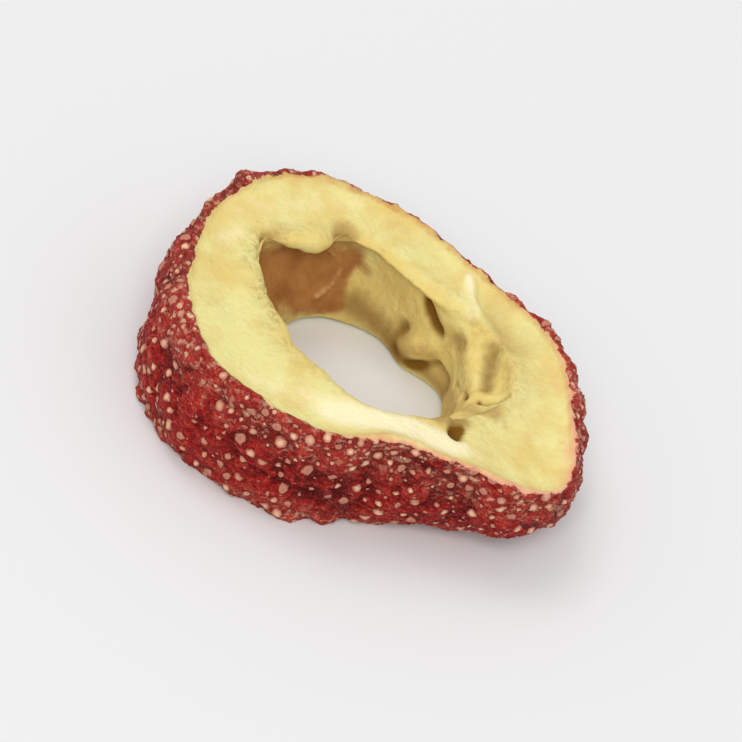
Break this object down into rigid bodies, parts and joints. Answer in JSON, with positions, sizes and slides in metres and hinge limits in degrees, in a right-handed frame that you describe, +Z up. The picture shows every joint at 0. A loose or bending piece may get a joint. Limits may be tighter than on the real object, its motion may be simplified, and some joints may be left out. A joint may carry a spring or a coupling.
{
  "type": "dried hawthorn slice",
  "caption": "Thick dried hawthorn ring lying on its cut face: pale cream flesh round a punched core hole with seed pockets, and wrinkled red skin with raised pale spots.",
  "frame": {"origin": "on the surface that the slice lies on, under the middle of its box", "axes": "+Z up out of the upper cut face, +X along the longest way across the ring, +Y towards the side where the ring is narrow"},
  "size_m": [0.0261, 0.0212, 0.0077],
  "materials": {
    "dried_hawthorn": "dried fruit: wrinkled crimson skin with pale corky spots, matte cream-yellow flesh on the cut faces"
  },
  "bodies": {
    "root": {"hawthorn_slice": "dried_hawthorn"}
  },
  "joints": []
}
